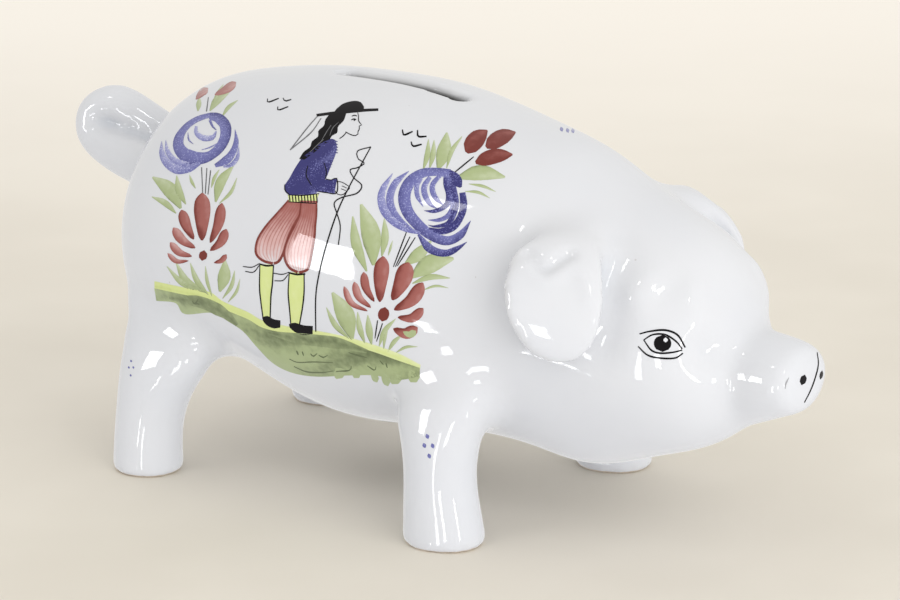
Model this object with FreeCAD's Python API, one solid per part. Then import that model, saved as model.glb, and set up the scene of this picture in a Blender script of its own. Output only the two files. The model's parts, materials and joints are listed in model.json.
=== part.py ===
import FreeCAD
import Part
import math
import os

from FreeCAD import Vector

# Hand-painted ceramic piggy bank. Millimetres, +Z up, snout towards +X.
# The origin is on the ground at the centre of the bank's outline.
# A hollow body stands on four short legs, with two hanging ears and a looped tail luted on,
# and a rubber stopper pulls down out of the belly.
# Each ceramic shape is a smooth skin over a cage of rings of control points.

# ---- driving dimensions ----
WALL = 4.5              # thickness of the body shell
FOOT_X_FRONT = 34.5     # centres of the feet along the bank
FOOT_X_REAR = -64.5
FOOT_Y = 39.0           # and to each side of it
SOLE_ROUND = 1.6        # rounding of the sole's edge
SLOT_X = -7.0           # middle of the coin slot
SLOT_LENGTH = 42.0
SLOT_WIDTH = 5.0
SLOT_LIP = 1.5          # rounding of the slot's outer edge
SLOT_EDGE_Z = 105.0     # the slot's outer edge is above this height and its inner edge below
MID_Z = 60.0            # a height inside the hollow, where the cutters for the slot and the hole end
STOPPER_X = -6.0        # axis of the stopper in the belly
HOLE_RADIUS = 12.0
SEAT_RADIUS = 15.2      # flat seat cut round the hole for the stopper's flange
SEAT_Z = 20.4
FLANGE_RADIUS = 14.8
FLANGE_THICK = 2.0
FLANGE_ROUND = 1.0
PLUG_LENGTH = 11.5
PLUG_TIP = 3.0          # height of the tapered end of the plug, and how much its radius shrinks there
PLUG_TAPER = 2.0
PLUG_CLEARANCE = 0.05   # gap between the widest rib and the hole
GROOVE_HEIGHTS = (4.8, 7.0)     # grooves round the plug, above the seat
GROOVE_RADIUS = 1.0     # radius of a groove's round section, whose middle is a little outside the plug
GROOVE_OUT = 0.3
GRIP_RADIUS = 8.5       # dish under the stopper with a bar across it for the fingers
GRIP_DEPTH = 5.0
GRIP_BAR = 3.5

# Body sections: x, height of the centre, half width, height above the centre, depth below it.
BODY = [
    (-82.5, 57, 22, 27, 16),
    (-78.5, 62, 33, 31, 29),
    (-69, 63, 42, 38.5, 36),
    (-55, 63, 47, 42, 36),
    (-40, 63, 48.5, 44.5, 35.5),
    (-28, 63, 49, 45.5, 42),
    (-14, 63, 49, 46, 47),
    (2, 62, 48.5, 47, 45),
    (18, 61, 46.5, 45, 41.5),
    (34, 60, 42.5, 42.5, 40),
    (50, 58, 37, 41.5, 38.5),
    (66, 56, 32.5, 34.5, 36),
    (81, 54, 29, 32, 31),
    (93, 52, 24, 28, 25),
    (100, 50, 17, 19, 17.5),
    (103, 48, 11.5, 12, 13.5),
    (108, 48, 12, 11.5, 11.5),
    (116, 49, 12, 9.5, 9),
    (120, 49, 9.5, 7.5, 7.5),
]
FRONT_WALL_X = 100      # the hollow stops behind the snout

# Leg sections: height, shift forward, shift inward, reach forward, reach back, reach outward, reach inward.
FRONT_LEG = [
    (-6, 0, 0, 12, 10, 10, 10),
    (2, 0, 0, 12, 10, 10, 10),
    (10, -1, 0, 11, 9, 9.5, 9.5),
    (17, -1, 0, 9.5, 9, 9, 9.5),
    (25, -1, 0, 10, 9.5, 9, 10),
    (34, -2, 1, 13, 12, 9, 14),
    (44, -2, 5, 16, 16, 9, 17),
    (56, -2, 12, 17, 17, 8, 18),
]
REAR_LEG = [
    (-6, 0, 0, 9.5, 9.5, 9.5, 9.5),
    (2, 0, 0, 9.5, 9.5, 9.5, 9.5),
    (10, 0, 0, 9.5, 9, 9, 9),
    (18, 1, 0, 10, 9, 9, 9.5),
    (26, 2, 0, 13.5, 9, 9, 11),
    (34, 4, 1, 18, 10.5, 9, 13),
    (44, 5, 5, 20, 12, 8, 15),
    (56, 6, 12, 20, 12, 7, 16),
]

# Ear sections from root to tip: x, distance to the side, height, half width, half thickness, cupping.
EAR = [
    (63.5, 14, 82.5, 8, 3.5, 0),
    (64, 24.5, 82.5, 10.5, 4, 0),
    (65.5, 32, 79.5, 12, 3.5, 1),
    (67.5, 36.5, 71.5, 13.5, 4, 2),
    (70, 38.5, 62.5, 12, 3.5, 2),
    (71, 37.5, 54.5, 7, 3, 0),
]
EAR_TURN = 34           # degrees the ear turns to face the snout

# Tail sections along the loop: x, y, height, radius.
TAIL = [
    (-74, -1, 70, 6.8),
    (-87, -1, 71, 6.6),
    (-98, -2, 73, 6.2),
    (-108.5, -2, 76, 5.9),
    (-114.8, -1.5, 79.4, 5.7),
    (-115, -0.5, 86, 5.7),
    (-108.7, 1.5, 89, 5.7),
    (-102, 5.5, 83.5, 5.5),
    (-95.5, 10, 78.3, 5.2),
    (-89, 11.5, 74.5, 5.0),
    (-77, 11.5, 72, 4.5),
]

X_AXIS = Vector(1, 0, 0)
Y_AXIS = Vector(0, 1, 0)
Z_AXIS = Vector(0, 0, 1)
GRID = 16               # control points round one ring
RING_GROWTH = 3 / (2 + math.cos(2 * math.pi / GRID))    # a cubic ring runs inside its control points by this share
CAP_SHARE = 0.1         # size of a skin's flat end cap against the ring beside it
FAR = 400.0             # larger than the bank
NEAR = 0.01             # places closer than this count as the same


def ring(centre, across, over, reach, cup=0.0):
    """One ring of control points. reach is its size towards +across, -across, +over and -over.
    cup bends the ring's two sides towards -over."""
    points = []
    for k in range(GRID):
        angle = 2 * math.pi * (k + 1) / GRID
        s = math.sin(angle)
        c = math.cos(angle)
        side = s * (reach[0] if s > 0 else reach[1])
        height = c * (reach[2] if c > 0 else reach[3]) - cup * s * s
        points.append(centre + across * (side * RING_GROWTH) + over * (height * RING_GROWTH))
    return points


def shrunk(points):
    """The small ring round the middle of a ring, where a skin is closed by a flat cap."""
    total = Vector(0, 0, 0)
    for point in points:
        total = total + point
    middle = total * (1 / len(points))
    return [middle + (point - middle) * CAP_SHARE for point in points]


def skin(rings):
    """A closed solid with one smooth face along the rings and a small flat cap at each end."""
    rows = [shrunk(rings[0])] + rings + [shrunk(rings[-1])]
    spans = len(rows) - 3
    along_repeats = [4] + [1] * (spans - 1) + [4]
    along_knots = list(range(spans + 1))
    round_repeats = [1] * (GRID + 1)
    round_knots = list(range(GRID + 1))
    surface = Part.BSplineSurface()
    surface.buildFromPolesMultsKnots(
        rows, along_repeats, round_repeats, along_knots, round_knots, False, True, 3, 3
    )
    side = surface.toShape()
    caps = [Part.Face(Part.Wire([edge])) for edge in side.Edges if edge.isClosed()]
    shell = Part.Shell([side] + caps)
    shell.sewShape()
    solid = Part.Solid(shell)
    if solid.Volume < 0:
        solid.reverse()
    return solid


def biggest(shape):
    return max(shape.Solids, key=lambda solid: solid.Volume)


def body_outside():
    rings = [ring(Vector(x, 0, z), Y_AXIS, Z_AXIS, (w, w, up, down)) for x, z, w, up, down in BODY]
    return skin(rings)


def body_hollow():
    """The hollow inside the body, one wall in from its outside and ending behind the snout."""
    rings = []
    for x, z, w, up, down in BODY:
        if x <= FRONT_WALL_X:
            end = BODY[0][0] if x < 0 else FRONT_WALL_X
            inner_x = x * (1 - WALL / abs(end))
            reach = (w - WALL, w - WALL, up - WALL, down - WALL)
            rings.append(ring(Vector(inner_x, 0, z), Y_AXIS, Z_AXIS, reach))
    return skin(rings)


def coin_slot():
    """The cutter for the slot: a flat-sided prism with round ends."""
    half = SLOT_LENGTH / 2 - SLOT_WIDTH / 2
    block = Part.makeBox(2 * half, SLOT_WIDTH, FAR, Vector(SLOT_X - half, -SLOT_WIDTH / 2, MID_Z))
    middles = [Vector(SLOT_X + side * half, 0, MID_Z) for side in (-1, 1)]
    ends = [Part.makeCylinder(SLOT_WIDTH / 2, FAR, middle) for middle in middles]
    return block.fuse(ends).removeSplitter()


def body_shell(outside):
    shell = outside.cut(body_hollow())
    shell = shell.cut(Part.makeCylinder(HOLE_RADIUS, MID_Z, Vector(STOPPER_X, 0, 0)))
    shell = shell.cut(Part.makeCylinder(SEAT_RADIUS, SEAT_Z, Vector(STOPPER_X, 0, 0)))
    shell = biggest(shell.cut(coin_slot()))
    return round_slot(shell)


def round_slot(shell):
    """Round the run of edges round the slot on the outside of the body."""
    edges = []
    for edge in shell.Edges:
        box = edge.BoundBox
        inside_x = abs(box.Center.x - SLOT_X) <= SLOT_LENGTH / 2
        inside_y = max(abs(box.YMin), abs(box.YMax)) <= SLOT_WIDTH / 2 + NEAR
        if inside_x and inside_y and box.ZMin > SLOT_EDGE_Z:
            edges.append(edge)
    return shell.makeFillet(SLOT_LIP, edges)


def leg(sections, foot_x, side, body):
    """side is +1 for the left legs and -1 for the right ones."""
    outward = Y_AXIS * side
    rings = []
    for z, fore, inward, front, back, out, inn in sections:
        centre = Vector(foot_x + fore, side * (FOOT_Y - inward), z)
        rings.append(ring(centre, X_AXIS, outward, (front, back, out, inn)))
    below_ground = Part.makeBox(FAR, FAR, FAR, Vector(-FAR / 2, -FAR / 2, -FAR))
    shape = biggest(skin(rings).cut(below_ground).cut(body))
    sole_edges = [edge for edge in shape.Edges if edge.BoundBox.ZMax < NEAR]
    return shape.makeFillet(SOLE_ROUND, sole_edges)


def ear(side, body):
    places = [Vector(x, side * y, z) for x, y, z, width, thick, cup in EAR]
    turn = math.radians(EAR_TURN)
    across = Vector(math.cos(turn), -side * math.sin(turn), 0)
    last = len(EAR) - 1
    rings = []
    for k, (x, y, z, width, thick, cup) in enumerate(EAR):
        along = places[min(k + 1, last)] - places[max(k - 1, 0)]
        over = along.cross(across) * side
        over.normalize()
        rings.append(ring(places[k], across, over, (width, width, thick, thick), cup))
    return biggest(skin(rings).cut(body))


def tail(body):
    places = [Vector(x, y, z) for x, y, z, radius in TAIL]
    last = len(TAIL) - 1
    rings = []
    for k, (x, y, z, radius) in enumerate(TAIL):
        along = places[min(k + 1, last)] - places[max(k - 1, 0)]
        over = along.cross(Y_AXIS)
        over.normalize()
        across = over.cross(along)
        across.normalize()
        rings.append(ring(places[k], across, over, (radius,) * 4))
    return biggest(skin(rings).cut(body))


def stopper():
    """A turned rubber bung: a flange in the seat, a plug with grooves between its ribs, and a grip below."""
    widest = HOLE_RADIUS - PLUG_CLEARANCE
    top = SEAT_Z + PLUG_LENGTH
    bottom = SEAT_Z - FLANGE_THICK
    shape = Part.makeCylinder(FLANGE_RADIUS, FLANGE_THICK, Vector(STOPPER_X, 0, bottom))
    rim_edges = [edge for edge in shape.Edges if edge.BoundBox.ZMax < bottom + NEAR]
    shape = shape.makeFillet(FLANGE_ROUND, rim_edges)
    plug = Part.makeCylinder(widest, PLUG_LENGTH - PLUG_TIP, Vector(STOPPER_X, 0, SEAT_Z))
    tip = Part.makeCone(widest, widest - PLUG_TAPER, PLUG_TIP, Vector(STOPPER_X, 0, top - PLUG_TIP))
    shape = shape.fuse([plug, tip]).removeSplitter()
    for height in GROOVE_HEIGHTS:
        middle = Vector(STOPPER_X, 0, SEAT_Z + height)
        groove = Part.makeTorus(widest + GROOVE_OUT, GROOVE_RADIUS, middle, Z_AXIS)
        shape = shape.cut(groove)
    dish = Part.makeCylinder(GRIP_RADIUS, GRIP_DEPTH, Vector(STOPPER_X, 0, bottom))
    bar_corner = Vector(STOPPER_X - GRIP_RADIUS, -GRIP_BAR / 2, bottom)
    bar = Part.makeBox(2 * GRIP_RADIUS, GRIP_BAR, GRIP_DEPTH, bar_corner)
    shape = shape.cut(dish.cut(bar))
    return biggest(shape)


def main():
    outside = body_outside()
    shapes = {
        "body_shell": body_shell(outside),
        "leg_front_left": leg(FRONT_LEG, FOOT_X_FRONT, 1, outside),
        "leg_front_right": leg(FRONT_LEG, FOOT_X_FRONT, -1, outside),
        "leg_rear_left": leg(REAR_LEG, FOOT_X_REAR, 1, outside),
        "leg_rear_right": leg(REAR_LEG, FOOT_X_REAR, -1, outside),
        "ear_left": ear(1, outside),
        "ear_right": ear(-1, outside),
        "tail": tail(outside),
        "belly_stopper": stopper(),
    }
    os.makedirs("parts", exist_ok=True)
    for name, shape in shapes.items():
        box = shape.BoundBox
        print(name, shape.ShapeType, shape.isValid(), round(shape.Volume / 1000, 2), box)
        shape.exportStep("parts/" + name + ".step")


main()
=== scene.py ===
import json
import math

import bmesh
import bpy
import numpy as np
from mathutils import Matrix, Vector
from mathutils.bvhtree import BVHTree
from mathutils.interpolate import poly_3d_calc


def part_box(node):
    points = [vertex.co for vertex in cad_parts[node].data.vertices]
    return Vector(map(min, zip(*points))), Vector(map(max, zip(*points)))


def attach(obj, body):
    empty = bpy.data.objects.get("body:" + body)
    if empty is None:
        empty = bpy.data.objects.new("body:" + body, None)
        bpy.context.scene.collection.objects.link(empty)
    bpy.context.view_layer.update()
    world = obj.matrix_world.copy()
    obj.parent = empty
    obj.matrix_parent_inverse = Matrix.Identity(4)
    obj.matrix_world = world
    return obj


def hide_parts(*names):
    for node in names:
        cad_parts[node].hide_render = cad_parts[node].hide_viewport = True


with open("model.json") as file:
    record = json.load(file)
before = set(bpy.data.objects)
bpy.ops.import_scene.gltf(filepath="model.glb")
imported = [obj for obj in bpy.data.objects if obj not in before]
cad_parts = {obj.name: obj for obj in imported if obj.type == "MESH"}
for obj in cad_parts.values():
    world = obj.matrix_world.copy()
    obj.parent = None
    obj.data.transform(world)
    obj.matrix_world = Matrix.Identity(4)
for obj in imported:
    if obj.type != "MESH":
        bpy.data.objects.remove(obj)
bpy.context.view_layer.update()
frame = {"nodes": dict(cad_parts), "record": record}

# A hand-painted ceramic piggy bank: one glazed skin over the luted ceramic pieces, painted decoration
# in thin films on the glaze, and a rubber stopper. Everything is in metres; MM turns millimetres into metres.

MM = 0.001

# ---- the glazed skin ----
BODY = "body_shell"
LIMBS = {                       # how far the slip blends each piece into the body, in mm, and how much
    "leg_front_left": (9.0, 110),
    "leg_front_right": (9.0, 110),
    "leg_rear_left": (9.0, 110),
    "leg_rear_right": (9.0, 110),
    "ear_left": (8.0, 70),
    "ear_right": (8.0, 70),
    "tail": (7.0, 60),
}
VOXEL = 1.15 * MM
WELD = 0.001 * MM
SOFTEN = 0.5                    # share of the way to its neighbours' middle that a point moves in one round
REGROW = -0.52                  # and back again, so that the skin doesn't shrink
EVEN_ROUNDS = 26
SOLE_HEIGHT = 0.3 * MM          # points below this stay on the ground
FOLD_ROUNDS = 12
FOLD_SCALE = 20.0


def ceramic_mesh():
    """The body and its luted pieces, gathered into one mesh."""
    built = bmesh.new()
    for name in [BODY] + list(LIMBS):
        built.from_mesh(frame["nodes"][name].data)
    bmesh.ops.remove_doubles(built, verts=built.verts, dist=WELD)
    mesh = bpy.data.meshes.new("glazed_skin")
    built.to_mesh(mesh)
    built.free()
    return mesh


def remeshed(mesh):
    """One closed even mesh over the same shape."""
    obj = bpy.data.objects.new("remesh_source", mesh)
    bpy.context.scene.collection.objects.link(obj)
    mod = obj.modifiers.new("even", "REMESH")
    mod.mode = "VOXEL"
    mod.voxel_size = VOXEL
    graph = bpy.context.evaluated_depsgraph_get()
    result = bpy.data.meshes.new_from_object(obj.evaluated_get(graph))
    bpy.data.objects.remove(obj)
    return result


def vertex_array(mesh):
    flat = np.zeros(len(mesh.vertices) * 3)
    mesh.vertices.foreach_get("co", flat)
    return flat.reshape(-1, 3)


def edge_array(mesh):
    flat = np.zeros(len(mesh.edges) * 2, np.int64)
    mesh.edges.foreach_get("vertices", flat)
    return flat.reshape(-1, 2)


def normal_array(mesh):
    flat = np.zeros(len(mesh.vertices) * 3)
    mesh.vertices.foreach_get("normal", flat)
    return flat.reshape(-1, 3)


def neighbour_mean(places, edges):
    """The middle of each point's neighbours."""
    a, b = edges[:, 0], edges[:, 1]
    count = len(places)
    share = np.bincount(a, minlength=count) + np.bincount(b, minlength=count)
    columns = []
    for k in range(places.shape[1]):
        total = np.bincount(a, places[b, k], count) + np.bincount(b, places[a, k], count)
        columns.append(total / np.maximum(share, 1))
    return np.stack(columns, 1)


def relax(places, edges, weight, rounds, step=SOFTEN):
    """Evens the surface where weight is above 0, and fills creases there."""
    for _ in range(rounds):
        places = places + (step * weight)[:, None] * (neighbour_mean(places, edges) - places)
    return places


def even_out(places, edges, rounds):
    """Smooths without shrinking."""
    full = np.ones(len(places))
    for _ in range(rounds):
        places = relax(places, edges, full, 1)
        places = relax(places, edges, full, 1, REGROW)
    return places


def tree_over(mesh):
    """A search tree over a mesh."""
    return BVHTree.FromPolygons([v.co for v in mesh.vertices], [tuple(p.vertices) for p in mesh.polygons])


def join_weight(places, body_tree, name, reach):
    """1 on the line where a piece meets the body, falling to 0 at reach from it."""
    low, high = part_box(name)
    near = np.all((places > np.array(low) - reach) & (places < np.array(high) + reach), axis=1)
    limb_tree = tree_over(frame["nodes"][name].data)
    weight = np.zeros(len(places))
    for k in np.nonzero(near)[0]:
        point = Vector(places[k])
        to_limb = limb_tree.find_nearest(point, reach)[3]
        to_body = body_tree.find_nearest(point, reach)[3]
        if to_limb is not None and to_body is not None:
            share = 1 - max(to_limb, to_body) / reach
            weight[k] = share * share * (3 - 2 * share)
    return weight


def glazed_skin():
    """One skin over all the ceramic, with slip fillets where pieces meet."""
    mesh = remeshed(ceramic_mesh())
    places = vertex_array(mesh)
    edges = edge_array(mesh)
    on_ground = places[:, 2] < SOLE_HEIGHT
    body_tree = tree_over(frame["nodes"][BODY].data)
    for name, (reach, rounds) in LIMBS.items():
        weight = join_weight(places, body_tree, name, reach * MM)
        places = relax(places, edges, weight, rounds)
    places = even_out(places, edges, EVEN_ROUNDS)
    places[on_ground, 2] = 0
    places[:, 2] = np.maximum(places[:, 2], 0)
    mesh.vertices.foreach_set("co", places.ravel())
    mesh.update()
    mesh.shade_smooth()
    return mesh


def fold_depth(mesh, places, edges):
    """How deep in a fold each vertex is, above 0 in a crease and below 0 on a rim."""
    bend = np.sum((neighbour_mean(places, edges) - places) * normal_array(mesh), axis=1) / MM
    return relax(bend[:, None], edges, np.ones(len(bend)), FOLD_ROUNDS)[:, 0] * FOLD_SCALE


skin_mesh = glazed_skin()
skin = bpy.data.objects.new("glazed_ceramic_bank", skin_mesh)
bpy.context.scene.collection.objects.link(skin)
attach(skin, "bank")
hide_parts(BODY, *LIMBS)

# ---- materials ----


class Tree:
    """A short way to write a material's nodes. A value may be a number, a colour or another node's output."""

    def __init__(self, name):
        self.material = bpy.data.materials.new(name)
        self.material.use_nodes = True
        self.nodes = self.material.node_tree.nodes
        self.links = self.material.node_tree.links
        self.shader = self.nodes["Principled BSDF"]

    def put(self, socket, value):
        if isinstance(value, bpy.types.NodeSocket):
            self.links.new(value, socket)
        elif isinstance(value, tuple) and len(value) == 3 and socket.type == "RGBA":
            socket.default_value = (*value, 1)
        else:
            socket.default_value = value

    def add(self, kind, output, settings=None, **inputs):
        node = self.nodes.new("ShaderNode" + kind)
        for key, value in (settings or {}).items():
            setattr(node, key, value)
        for key, value in inputs.items():
            self.put(node.inputs[int(key[1:]) if key[0] == "i" and key[1:].isdigit() else key], value)
        return node.outputs[output]

    def math(self, operation, a, b):
        return self.add("Math", 0, {"operation": operation}, i0=a, i1=b)

    def mix(self, share, a, b):
        return self.add("Mix", 2, {"data_type": "RGBA"}, i0=share, i6=a, i7=b)

    def spread(self, value, low, high, to_low=0.0, to_high=1.0):
        """A soft step: to_low where value is low, to_high where it is high."""
        smooth = {"interpolation_type": "SMOOTHSTEP"}
        return self.add("MapRange", 0, smooth, i0=value, i1=low, i2=high, i3=to_low, i4=to_high)

    def place(self):
        return self.add("TexCoord", "Object")

    def noise(self, scale, detail):
        return self.add("TexNoise", 0, None, Vector=self.place(), Scale=scale, Detail=detail)

    def attribute(self, name):
        return self.add("Attribute", 2, {"attribute_name": name})

    def bump(self, height, strength, distance, onto=None):
        node = self.nodes.new("ShaderNodeBump")
        self.put(node.inputs["Height"], height)
        node.inputs["Strength"].default_value = strength
        node.inputs["Distance"].default_value = distance
        if onto is not None:
            self.put(node.inputs["Normal"], onto)
        return node.outputs[0]

    def finish(self, **inputs):
        for key, value in inputs.items():
            self.put(self.shader.inputs[key.replace("_", " ")], value)
        return self.material


WHITE = (0.705, 0.712, 0.735)
WHITE_DEEP = (0.62, 0.65, 0.70)
WHITE_THIN = (0.73, 0.715, 0.68)
WHITE_CLOUD = (0.685, 0.695, 0.725)
KILN_SPECK = (0.33, 0.27, 0.22)
BISCUIT = (0.50, 0.40, 0.29)
BISCUIT_PALE = (0.62, 0.52, 0.40)
# painted shade: near-black glaze deep in the coin slot, where little light gets in
SLOT_PAINTED_SHADE = (0.05, 0.047, 0.043)
BARE_TOP = 1.05 * MM            # the soles are bare clay up to about here
BARE_FULL = 0.75 * MM
GLAZE_INDEX = 1.56              # the glaze bends light like hard glass
RUBBER = (0.035, 0.033, 0.032)
RUBBER_BLOOM = (0.085, 0.082, 0.08)


def glaze_white(tree):
    """The tin glaze: bluish where it pools, creamy where it runs thin over a rim."""
    cloud = tree.noise(28.0, 3.0)
    colour = tree.mix(tree.spread(cloud, 0.35, 0.75), WHITE, WHITE_CLOUD)
    fold = tree.attribute("fold")
    colour = tree.mix(tree.spread(fold, 0.15, 1.8, 0.0, 0.8), colour, WHITE_DEEP)
    return tree.mix(tree.spread(fold, -1.0, -3.4, 0.0, 0.4), colour, WHITE_THIN)


def glaze_surface(tree):
    """Roughness and fine waves that the glaze and the paint under it share."""
    fine = tree.noise(900.0, 1.0)
    slow = tree.noise(70.0, 2.0)
    roughness = tree.spread(tree.noise(160.0, 3.0), 0.3, 0.8, 0.035, 0.075)
    normal = tree.bump(slow, 0.35, 0.12 * MM)
    normal = tree.bump(fine, 0.12, 0.02 * MM, normal)
    return roughness, normal


def glaze_material():
    """White glaze with kiln specks, bare clay under the soles, and painted shade deep in the coin slot."""
    tree = Tree("glazed_ceramic")
    colour = glaze_white(tree)
    speck_field = tree.add("TexVoronoi", "Distance", {"feature": "F1"}, Vector=tree.place(), Scale=210.0)
    speck_pick = tree.spread(tree.noise(190.0, 0.0), 0.73, 0.76)
    speck = tree.math("MULTIPLY", tree.spread(speck_field, 0.075, 0.045), speck_pick)
    colour = tree.mix(tree.math("MULTIPLY", speck, 0.5), colour, KILN_SPECK)
    height = tree.add("SeparateXYZ", 2, None, Vector=tree.place())
    ragged = tree.math("ADD", height, tree.math("MULTIPLY", tree.noise(260.0, 2.0), 0.7 * MM))
    bare = tree.spread(ragged, BARE_TOP, BARE_FULL)
    # painted shade: the glaze turns near black deep inside the coin slot
    colour = tree.mix(tree.attribute("painted_slot_shade"), colour, SLOT_PAINTED_SHADE)
    grain = tree.noise(2200.0, 3.0)
    clay = tree.mix(grain, BISCUIT, BISCUIT_PALE)
    colour = tree.mix(bare, colour, clay)
    roughness, normal = glaze_surface(tree)
    roughness = tree.add("Mix", 0, None, i0=bare, i2=roughness, i3=0.85)
    normal = tree.bump(tree.math("MULTIPLY", grain, bare), 0.5, 0.15 * MM, normal)
    return tree.finish(Base_Color=colour, Roughness=roughness, Normal=normal, IOR=GLAZE_INDEX,
                       Coat_Weight=0.35, Coat_Roughness=0.03)


def rubber_material():
    """Dull rubber with a pale bloom."""
    tree = Tree("soft_rubber")
    fine = tree.noise(1500.0, 3.0)
    bloom = tree.spread(tree.noise(120.0, 4.0), 0.45, 0.75)
    colour = tree.mix(bloom, RUBBER, RUBBER_BLOOM)
    roughness = tree.spread(fine, 0.3, 0.7, 0.48, 0.66)
    normal = tree.bump(fine, 0.35, 0.06 * MM)
    return tree.finish(Base_Color=colour, Roughness=roughness, Normal=normal, IOR=1.5)


skin_mesh.materials.append(glaze_material())
stopper = frame["nodes"]["belly_stopper"]
stopper.data.materials.clear()
stopper.data.materials.append(rubber_material())

# ---- the drawing plane ----
# The decoration is drawn on a plane that faces the painted side, u to the right and v up, in mm from a point
# inside the bank, and laid on the glaze along lines from the viewer. The left side is its mirror image.
TARGET = Vector((8.5, 0.0, 50.9)) * MM
AZIMUTH = math.radians(36.2)
ELEVATION = math.radians(16.4)
DISTANCE = 1.05
SENSOR_MM = 36.0
LENS_MM = 158.3
BACK = Vector((
    math.sin(AZIMUTH) * math.cos(ELEVATION),
    -math.cos(AZIMUTH) * math.cos(ELEVATION),
    math.sin(ELEVATION),
))
EYE = TARGET + BACK * DISTANCE
RIGHT = Vector((math.cos(AZIMUTH), math.sin(AZIMUTH), 0.0))
UP = BACK.cross(RIGHT)

FILM = 0.04 * MM                # how far the paint stands out of the glaze
SUNK = 0.06 * MM                # and how far its underside is inside it
LAYER = 0.012 * MM              # each layer of paint lies this far above the last
STEP = 0.75                     # spacing of points along a stroke, in mm
THINNEST = 0.06                 # the narrowest that a stroke gets, in mm
PLAIN_TONE = 0.8                # pigment strength where none is given

skin_tree = tree_over(skin_mesh)


def skin_normal(face, point):
    """The glaze's smooth normal at a point of one face."""
    corners = [skin_mesh.vertices[k] for k in skin_mesh.polygons[face].vertices]
    shares = poly_3d_calc([c.co for c in corners], point)
    return sum((c.normal * w for c, w in zip(corners, shares)), Vector()).normalized()


def on_skin(u, v, side):
    """The point of the glaze behind (u, v) on the drawing plane, and its normal. side is -1 on the right."""
    mark = TARGET + RIGHT * (u * MM) + UP * (v * MM)
    way = (mark - EYE).normalized()
    start = EYE.copy()
    if side > 0:
        start.y = -start.y
        way.y = -way.y
    point, _, face, _ = skin_tree.ray_cast(start, way)
    if point is None:
        return None
    return point, skin_normal(face, point)


def curve(points, count):
    """count points along a smooth curve through the given ones."""
    known = np.array(points, float)
    if len(known) == 2:
        known = np.array([known[0], (known[0] + known[1]) / 2, known[1]])
    padded = np.vstack([2 * known[0] - known[1], known, 2 * known[-1] - known[-2]])
    lengths = np.linalg.norm(np.diff(known[:, :2], axis=0), axis=1)
    reached = np.concatenate([[0], np.cumsum(lengths)])
    out = []
    for want in np.linspace(0, reached[-1], count):
        k = min(int(np.searchsorted(reached, want, side="right")) - 1, len(known) - 2)
        t = (want - reached[k]) / max(lengths[k], 1e-9)
        p0, p1, p2, p3 = padded[k:k + 4]
        out.append(0.5 * (2 * p1 + (p2 - p0) * t + (2 * p0 - 5 * p1 + 4 * p2 - p3) * t ** 2
                          + (3 * p1 - p0 - 3 * p2 + p3) * t ** 3))
    return np.array(out)


def run_length(points):
    """The length of a line through the points, in mm."""
    known = np.array(points, float)[:, :2]
    return float(np.sum(np.linalg.norm(np.diff(known, axis=0), axis=1)))


# ---- soft modelling ----
# Ridges and dents that the mould left on both sides: the line of each on the drawing plane, how far it stands out
# in mm, below 0 for a dent, and its half width in mm. They are the fold across the ear, the rim of the ear's flap,
# the ridge over the eye and the valley between ear and head.
MODELLING = [
    ([(20.4, 12.6), (25.2, 8.4), (31.6, 12.2)], -1.25, 1.8),
    ([(20.8, 9.4), (25.4, 5.2), (31.0, 8.8), (35.2, 7.0), (37.2, 1.0)], 0.6, 2.2),
    ([(49.4, 2.0), (55.4, 4.6), (62.4, 2.2)], 1.3, 5.0),
    ([(43.0, 16.0), (43.6, 4.0), (43.2, -5.0), (41.0, -12.0)], -1.3, 5.2),
]
# The same as single places, in mm on the left half: the hollows over and under the brow, the brow itself,
# the haunch where the rear leg leaves the rump, and the low chest between the front legs.
SPOTS = [
    ((90.5, 19.0, 74.0), -1.3, 5.0),
    ((96.6, 16.0, 65.5), 0.6, 5.0),
    ((99.4, 16.6, 56.6), -1.7, 5.5),
    ((-70.0, 37.2, 45.5), 1.9, 6.5),
    ((60.0, 10.5, 22.0), 2.6, 14.0),
]
LINE_POINTS = 30                # points along a ridge or dent


def modelled(mesh):
    """Raises the ridges and presses the dents, and returns the new places of the points."""
    places = vertex_array(mesh)
    normals = normal_array(mesh)
    lines = []
    for points, out, width in MODELLING:
        lines.append(([on_skin(u, v, -1)[0] for u, v in curve(points, LINE_POINTS)[:, :2]], out, width))
    for place, out, width in SPOTS:
        lines.append(([Vector(place) * MM], out, width))
    for spots, out, width in lines:
        line = np.array(spots)
        for side in (1, -1):
            gaps = np.min([np.linalg.norm(places - spot * (1, side, 1), axis=1) for spot in line], axis=0)
            places += normals * (out * MM * np.exp(-(gaps / (width * MM)) ** 2))[:, None]
    mesh.vertices.foreach_set("co", places.ravel())
    mesh.update()
    return places


skin_places = modelled(skin_mesh)
OPENINGS = {opening["name"]: opening["box_m"] for opening in frame["record"]["physics"]["openings"]}
SLOT_BOX = OPENINGS["coin_slot"]
SLOT_MARGIN = 1.2 * MM          # the slot's walls stand this far outside its box, or less
BESIDE_SLOT = 3.0               # the back beside the slot, in half widths of the slot
ABOVE = 0.2                     # a height over the bank
SHADE_START = 1.0               # depth in mm at which the painted shade in the slot starts, and over which it grows
SHADE_REACH = 1.6


def painted_slot_shadow(places):
    """0 on the outside, rising to 1 deep in the coin slot: how much painted shade darkens the glaze there."""
    low, high = [np.array(corner) for corner in SLOT_BOX]
    inside = np.all((places > low - SLOT_MARGIN) & (places < high + SLOT_MARGIN), axis=1)
    shadow = np.zeros(len(places))
    for k in np.nonzero(inside)[0]:
        start = Vector((places[k][0], BESIDE_SLOT * high[1], ABOVE))
        back = skin_tree.ray_cast(start, Vector((0, 0, -1)))[0]
        depth = (back.z - places[k][2]) / MM
        shadow[k] = min(1.0, max(0.0, (depth - SHADE_START) / SHADE_REACH))
    return shadow


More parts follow.
